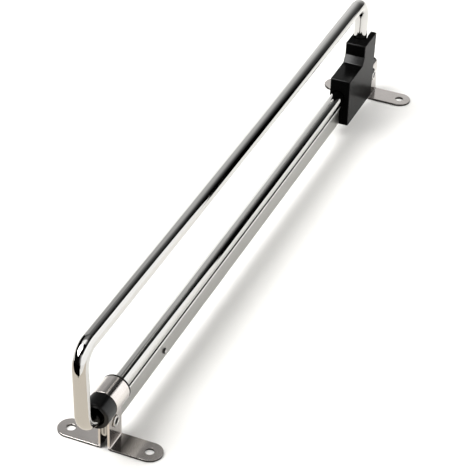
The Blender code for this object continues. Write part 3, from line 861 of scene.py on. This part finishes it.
def nickel_finish(name, painted_brightness, painted_patches):
    """Bright strip with a fine tumbled grain and a warm cast.

    The plate colour is scaled by a painted brightness, lower for a strap in shade. The flanges'
    lower parts and cut edges are painted dark as shade near the floor, and the ears' inner faces
    under the rail are painted dark as shade between the parts. Where the third argument is 1, the
    right flange is painted with shade towards its ear and the left one is painted brighter as a
    highlight.
    """
    f = Finish(name, metallic=1.0)
    cloud = f.grain(5.0, 3.0)
    tumble = f.grain(0.35, 3.0)
    height = f.axis("Z")
    across = f.axis("X")
    # Painted shade: the strip is coloured dark below its flanges' top faces, on their cut edges and
    # undersides near the floor.
    edge_shaded = 1 - f.fade(height, STRIP - 0.16, STRIP - 0.04)
    # Painted shade on the ears' inner faces, low down between them under the rail.
    between = 1 - f.apart(across, 1.85, 2.0)
    low = 1 - f.fade(height, RAIL_FLOOR + 0.5, RAIL_FLOOR + 2.0)
    plate = f.tone(cloud, NICKEL_PALE * painted_brightness, NICKEL_DEEP * painted_brightness)
    # Painted patches on the front flanges: a highlight on the left one, shade towards the ear on
    # the right one.
    flat = painted_patches * (1 - f.fade(height, STRIP + 0.05, STRIP + 0.4))
    left = f.fade(across, -2.0, -6.0)
    right = f.curve(across, [(x * MM, level) for x, level in PAINTED_SHADE_LEVELS])
    wear_and_highlight = f.tone(flat * left, plate, NICKEL_PAINTED_LIGHT)
    shaded_plate = f.tone(flat * right, wear_and_highlight, NICKEL_PAINTED_SHADE)
    gap_shaded = f.tone(between * low, shaded_plate, NICKEL_GAP_SHADE)
    return f.feed(
        base_color=f.tone(edge_shaded, gap_shaded, NICKEL_EDGE_SHADE),
        roughness=0.1 + cloud * 0.08 + tumble * 0.06,
        normal=f.bump(tumble, 0.0015),
    )


def satin_finish():
    """Satin sheet with grain drawn along the rail.

    The lips are polished, painted dark as shade on top, and painted bright as a highlight along the
    upper part of their edges, which are rougher there.
    """
    f = Finish("satin_sheet", metallic=1.0)
    lines = f.grain((0.22, 14.0, 0.22), 3.0)
    cloud = f.grain((6.0, 30.0, 6.0))
    height = f.axis("Z")
    across = f.axis("X")
    dull = 1 - f.fade(height, RAIL_TOP - 1.0, RAIL_TOP - 0.7)
    middle = 1 - f.apart(across, 1.6, 2.0)
    # Painted shade on the lips' tops, where the rod shades them.
    lip_shade = f.fade(height, RAIL_TOP - 0.15, RAIL_TOP - 0.05) * middle
    # Painted highlight along the lips' upper outer edges, which are also rougher there.
    outer = f.apart(across, 2.1, 2.18)
    wear_and_highlight = outer * f.fade(height, RAIL_TOP - 0.85, RAIL_TOP - 0.7)
    sheet = f.tone(lines * 0.6 + cloud * 0.4, SATIN_PALE, SATIN_DEEP)
    edge = f.tone(wear_and_highlight, sheet, SATIN_PAINTED_HIGHLIGHT)
    return f.feed(
        base_color=f.tone(lip_shade, edge, SATIN_PAINTED_SHADE),
        roughness=0.08 + dull * (0.18 + lines * 0.12 + cloud * 0.06) + wear_and_highlight * 0.4,
        normal=f.bump(lines * dull, 0.003),
    )


def rivet_finish(name, y, radii):
    """Plated rivet with small tool marks.

    Round the rivet's axis at y it goes from plated at the first radius to painted dark at the
    second, as shade in the bore and round the dome.
    """
    f = Finish(name, metallic=1.0)
    marks = f.grain(0.3, 3.0)
    away = f.axis("Y") - y * MM
    rise = f.axis("Z") - RIVET_Z * MM
    square = away * away + rise * rise
    bright, dark = ((radius * MM) ** 2 for radius in radii)
    # Painted shade: dark colour round the dome and inside the tube's bore, also rougher there.
    dull = f.span(square, bright, dark)
    plate = f.tone(f.grain(1.6), RIVET_PALE, RIVET_DEEP)
    return f.feed(
        base_color=f.tone(dull, plate, RIVET_PAINTED_SHADE),
        roughness=0.12 + marks * 0.14 + dull * 0.3,
        normal=f.bump(marks, 0.004),
    )


def plastic_finish(name, gloss, rough, texture, depth):
    """Moulded black plastic: eroded texture of a given size, paler rubbed specks."""
    f = Finish(name, specular_ior_level=gloss, coat_roughness=0.2)
    relief = f.grain(texture, 3.0)
    cloud = f.grain(7.0, 2.0)
    wear_and_highlight = f.specks(0.9, 0.66, 0.82)
    f.feed(
        base_color=f.tone(cloud * 0.6 + wear_and_highlight * 0.4, PLASTIC_DEEP, PLASTIC_PALE),
        roughness=rough + relief * 0.12 + cloud * 0.08,
        normal=f.bump(relief, depth),
    )
    return f


def bush_finish():
    """The bush's plastic, rubbed glossier towards its right side."""
    f = plastic_finish("bush_black", 0.08, 0.26, 0.5, 0.002)
    return f.feed(coat_weight=0.5 * f.fade(f.axis("X"), 1.0, 6.0))


def carriage_finish():
    """The carriage's plastic: dull in front, half gloss on the sides, glossy on the bevel.

    The bevel is where height above the shelf over its rise plus way from the upper front over its
    depth is one. The shelf has a little gloss, and the two upper edges in front are rubbed.
    """
    f = plastic_finish("carriage_black", 0.01, 0.34, 0.35, 0.004)
    height = f.axis("Z") - SHELF * MM
    before = UPPER_FRONT * MM - f.axis("Y")
    slope = height * (1 / (BEVEL_HEIGHT * MM)) + before * (1 / (BEVEL_DEPTH * MM))
    below = 1 - f.fade(height, BEVEL_HEIGHT + 0.1, BEVEL_HEIGHT + 0.4)
    bevel = f.span(slope, 0.85, 0.95) * (1 - f.span(slope, 1.05, 1.15)) * below
    level = f.fade(height, -0.3, -0.1) * (1 - f.fade(height, 0.1, 0.3))
    shelf = level * f.fade(before, 0.0, BEVEL_DEPTH)
    edges = 0.0
    for front, top in ((CARRIAGE_FRONT, SHELF), (UPPER_FRONT, CARRIAGE_TOP)):
        behind = f.axis("Y") - front * MM
        under = top * MM - f.axis("Z")
        edges = edges + (1 - f.fade(behind, 0.5, 0.9)) * (1 - f.fade(under, 0.5, 0.9))
    aside = f.axis("X") - (CARRIAGE_LEFT + CARRIAGE_RIGHT) / 2 * MM
    half = (CARRIAGE_RIGHT - CARRIAGE_LEFT) / 2
    side = f.apart(aside, half - 0.5, half - 0.3)
    front_gloss = bevel * 0.8 + shelf * 0.25 + edges * 0.4
    return f.feed(coat_weight=side * 0.3 + (1 - side) * front_gloss)


def zinc_finish():
    """Screw plate with a faint yellow and blue cast."""
    f = Finish("zinc_screw", metallic=1.0)
    return f.feed(
        base_color=f.tone(f.grain(0.8, 3.0), ZINC_YELLOW, ZINC_BLUE),
        roughness=0.24 + f.grain(0.4) * 0.16,
        normal=f.bump(f.grain(0.3), 0.004),
    )


CHROME = chrome_finish()
SATIN = satin_finish()
ZINC = zinc_finish()
BUSH = bush_finish()
LINER = plastic_finish("liner_black", 0.04, 0.22, 0.8, 0.002).material
BODY = carriage_finish()


# Pieces on their bodies.


def place(name, mesh, material, body, node, slot):
    """A finished piece that rides on a body and stands for its solid."""
    mesh.materials.append(material)
    piece = add_object(name, mesh)
    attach(piece, body)
    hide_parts(node)
    return piece


def sheet_solid(piece, thickness, edge):
    """Gives a bent blank its thickness and breaks its edges."""
    wall = piece.modifiers.new("thickness", "SOLIDIFY")
    wall.thickness = thickness * MM
    wall.offset = 0.0
    wall.use_even_offset = True
    broken = piece.modifiers.new("broken_edges", "BEVEL")
    broken.width = edge * MM
    broken.segments = 3
    broken.limit_method = "ANGLE"
    broken.angle_limit = math.radians(BROKEN_ANGLE)
    broken.harden_normals = True


FIXED = "fixed_rail"
MOVING = "pull_out_loop"

place("loop_rod", rod_mesh(), CHROME, MOVING, "hanger_loop", "chrome_rod")
place("carriage_moulding", carriage_mesh(), BODY, MOVING, "carriage_block", "carriage_plastic")
rail = place("rail_channel", rail_mesh(), SATIN, FIXED, "slide_rail", "satin_rail")
sheet_solid(rail, RAIL_SHEET, RAIL_EDGE)
# The rear strap's plate is painted darker, at 0.8, as shade; only the front strap gets the painted
# patches on its flanges.
for end, over, y, painted_brightness, painted_patches in (
    ("front", front_over(), FRONT_Y, 1.0, 1.0),
    ("rear", rear_over(), REAR_Y, 0.8, 0.0),
):
    nickel = nickel_finish(f"{end}_nickel", painted_brightness, painted_patches)
    strip = strap_mesh(end, over, y)
    strap = place(f"{end}_strip", strip, nickel, FIXED, f"{end}_strap", "nickel_strip")
    sheet_solid(strap, STRIP, STRIP_EDGE)
    tube = rivet_finish(f"{end}_tube_plate", y, TUBE_RADII)
    eyelet = eyelet_mesh(end, y)
    place(f"{end}_rolled_rivet", eyelet, tube, FIXED, f"{end}_eyelet", "rivet_steel")
for end, y in (("front", FRONT_STOP_Y), ("rear", REAR_STOP_Y)):
    dome = rivet_finish(f"{end}_dome_plate", y, DOME_RADII)
    stop = stop_rivet_mesh(end, y)
    place(f"{end}_stop_dome", stop, dome, FIXED, f"{end}_stop_rivet", "rivet_steel")
place("bush_nose", bush_mesh(), BUSH, FIXED, "front_bush", "bush_plastic")
place("bush_slide_liner", liner_mesh(), LINER, FIXED, "bush_liner", "liner_plastic")
place("bush_open_ring", clip_mesh(), BUSH, FIXED, "bush_clip", "bush_plastic")
for node in ("run_screw", "leg_grub_screw"):
    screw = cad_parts[node]
    screw.data.materials.clear()
    screw.data.materials.append(ZINC)


# Stage: floor, light, cards and camera.

# Places of the stage, in metres: half of the floor, and the planes that its cards stand in.
FLOOR_HALF = 6.0
REAR_PLANE = 0.75
RIGHT_PLANE = 0.4
FRONT_PLANE = -1.5
FLAG_PLANE = -0.4405
FLOOR_CARD_LEVEL = 0.0015
FOOT_CARD_FRONT = -0.268

# Camera fitted to the photograph: azimuth, elevation and roll in degrees, target and distance in
# mm, focal length and frame in the photograph's pixels, sensor in mm, and what it sees in metres.
CAMERA_TURNS = (22.04, 34.93, 1.92)
CAMERA_TARGET = (3.343, 145.189 + FRONT_Y, 32.0)
CAMERA_DISTANCE = 1056.9
FOCAL_PIXELS = 1979.0
PHOTO_PIXELS = 470.0
SENSOR = 36.0
NEAREST = 0.05
FARTHEST = 40.0


def stage_face(name, corners, material):
    """One flat face of the stage."""
    mesh = bpy.data.meshes.new(name)
    mesh.from_pydata(corners, [], [(0, 1, 2, 3)])
    mesh.materials.append(material)
    item = add_object(name, mesh)
    return item


def in_plane(axis, level, points):
    """Corners in the plane at a level of an axis, from their two other coordinates."""
    return np.insert(np.array(points, float), axis, level, axis=1).tolist()


def card(name, corners, strength=0.0, tint=CARD_WHITE, gradients=()):
    """A flat card that shows in reflections only: neither camera nor shadows see it.

    It glows with strength times tint. Two gradients, each an axis and (place, level) points along
    it in metres, dim it by their product. A card without strength is a dark flag.
    """
    f = Finish(
        name, base_color=(*CARD_BLACK, 1.0), roughness=1.0, specular_ior_level=0.0,
        emission_color=(*tint, 1.0), emission_strength=strength,
    )
    if gradients:
        first, second = (f.curve(f.axis(axis), points) for axis, points in gradients)
        f.feed(emission_color=f.tone(first * second, CARD_BLACK, tint))
    item = stage_face(name, corners, f.material)
    item.visible_camera = False
    item.visible_diffuse = False
    item.visible_shadow = False


def area_light(name, size, energy, stand, target):
    """A square soft light aimed at a point."""
    lamp = bpy.data.lights.new(name, "AREA")
    lamp.shape = "SQUARE"
    lamp.size = size
    lamp.energy = energy
    item = add_object(name, lamp)
    item.location = stand
    item.rotation_euler = (Vector(target) - item.location).to_track_quat("-Z", "Y").to_euler()
    item.visible_camera = False
    return item


def make_floor():
    """Plain pale floor with a barely visible unevenness."""
    f = Finish("pale_floor", roughness=0.75)
    f.feed(base_color=f.tone(f.grain(400.0), FLOOR_PALE, FLOOR_DEEP))
    signs = np.array([(-1, -1), (1, -1), (1, 1), (-1, 1)])
    stage_face("floor", in_plane(Z, 0.0, FLOOR_HALF * signs), f.material)


def make_lights():
    """A softbox at the upper left, a wide light overhead and a weak one at the rear right.

    The last two are kept out of reflections. The room around is nearly dark.
    """
    area_light("softbox", 1.6, 62.0, (-1.06, -0.95, 1.67), (0.0, 0.03, 0.0))
    overhead = area_light("overhead", 4.0, 64.0, (0.0, 0.3, 2.2), (0.0, 0.1, 0.0))
    fill = area_light("rear_fill", 0.3, 0.5, (0.22, 0.3, 0.25), (0.03, 0.16, 0.0))
    for lamp in (overhead, fill):
        lamp.visible_glossy = False
    world = bpy.data.worlds.new("room")
    world.use_nodes = True
    world.node_tree.nodes["Background"].inputs["Color"].default_value = (*ROOM_DARK, 1.0)
    bpy.context.scene.world = world
    bpy.context.scene.view_settings.view_transform = "Standard"


def make_cards():
    """Bright graded cards round the part, and dark flags that keep some of it dark."""
    card(
        "rear_card",
        in_plane(Y, REAR_PLANE, [(-1.1, 0.0), (1.1, 0.0), (1.1, 1.1), (-1.1, 1.1)]),
        1.1,
        gradients=(
            ("X", [
                (-0.9, 0.55), (-0.4, 0.92), (-0.15, 0.88), (0.05, 0.42), (0.2, 0.17),
                (0.35, 0.05), (0.5, 0.02),
            ]),
            ("Z", [(0.0, 0.85), (0.3, 1.0), (0.45, 0.8), (0.8, 0.64), (0.86, 0.3), (1.05, 0.15)]),
        ),
    )
    card(
        "rear_left_card",
        in_plane(Y, REAR_PLANE - 0.005, [(-0.95, 0.0), (-0.42, 0.0), (-0.52, 0.28), (-0.74, 0.28)]),
        1.6,
    )
    card(
        "ceiling_card",
        [(-1.1, REAR_PLANE, 1.1), (1.1, REAR_PLANE, 1.1), (1.1, -0.3, 1.3), (-1.1, -0.3, 1.3)],
        2.2,
        gradients=(
            ("X", [(-0.9, 0.55), (-0.15, 0.8), (0.1, 0.3), (0.35, 0.02)]),
            ("Y", [(-0.3, 1.0), (0.08, 1.0), (0.16, 0.252), (0.75, 0.109)]),
        ),
    )
    card(
        "right_card",
        in_plane(X, RIGHT_PLANE, [(0.4, 0.0), (-1.6, 0.0), (-1.6, 0.62), (0.455, 0.62)]),
        1.8,
        gradients=(
            ("Y", [(-1.6, 0.0), (-1.3, 0.3), (-0.8, 1.0), (0.6, 1.0)]),
            ("Z", [(0.0, 0.85), (0.25, 0.85), (0.5, 1.0)]),
        ),
    )
    card(
        "rear_right_card",
        in_plane(X, RIGHT_PLANE - 0.002, [(0.75, 0.0), (0.55, 0.0), (0.55, 0.005), (0.75, 0.1)]),
        1.2,
    )
    card(
        "front_card",
        in_plane(Y, FRONT_PLANE, [(-0.2, 0.25), (1.2, 0.25), (1.2, 1.25), (-0.2, 1.25)]),
        0.5,
        gradients=(
            ("X", [(-0.2, 0.0), (0.1, 0.1), (0.4, 1.0), (1.2, 1.0)]),
            ("Z", [(0.25, 0.4), (0.6, 1.0), (1.25, 1.0)]),
        ),
    )
    foot = [(-0.3, FOOT_CARD_FRONT), (0.3, FOOT_CARD_FRONT), (0.3, -0.178), (-0.3, -0.178)]
    card("foot_card", in_plane(Z, FLOOR_CARD_LEVEL, foot), 0.975, CARD_WARM)
    right = [(0.7, 0.0), (0.35, 0.0), (0.35, 0.5), (0.7, 0.5)]
    card("right_flag", in_plane(X, RIGHT_PLANE + 0.003, right))
    front = [(-0.6, 0.0), (0.12, 0.0), (0.12, 0.068), (-0.6, 0.068)]
    card("front_flag", in_plane(Y, FLAG_PLANE, front))
    floor = [
        (-0.6, FLAG_PLANE), (0.1, FLAG_PLANE), (0.025, FOOT_CARD_FRONT), (-0.6, FOOT_CARD_FRONT),
    ]
    card("floor_flag", in_plane(Z, FLOOR_CARD_LEVEL, floor))


def make_camera():
    """Camera fitted to the photograph: turned by azimuth, elevation and roll about a target."""
    azimuth, elevation, roll = np.radians(CAMERA_TURNS)
    back = np.array((
        math.sin(azimuth) * math.cos(elevation),
        -math.cos(azimuth) * math.cos(elevation),
        math.sin(elevation),
    ))
    right = np.array((math.cos(azimuth), math.sin(azimuth), 0.0))
    up = np.cross(back, right)
    across = math.cos(roll) * right + math.sin(roll) * up
    upward = -math.sin(roll) * right + math.cos(roll) * up
    centre = (np.array(CAMERA_TARGET) + CAMERA_DISTANCE * back) * MM
    lens = bpy.data.cameras.new("camera")
    lens.sensor_width = SENSOR
    lens.lens = FOCAL_PIXELS / PHOTO_PIXELS * SENSOR
    lens.clip_start = NEAREST
    lens.clip_end = FARTHEST
    camera = add_object("camera", lens)
    matrix = np.eye(4)
    matrix[:3] = np.stack((across, upward, back, centre), axis=-1)
    camera.matrix_world = Matrix(matrix.tolist())
    bpy.context.scene.camera = camera


make_floor()
make_lights()
make_cards()
make_camera()
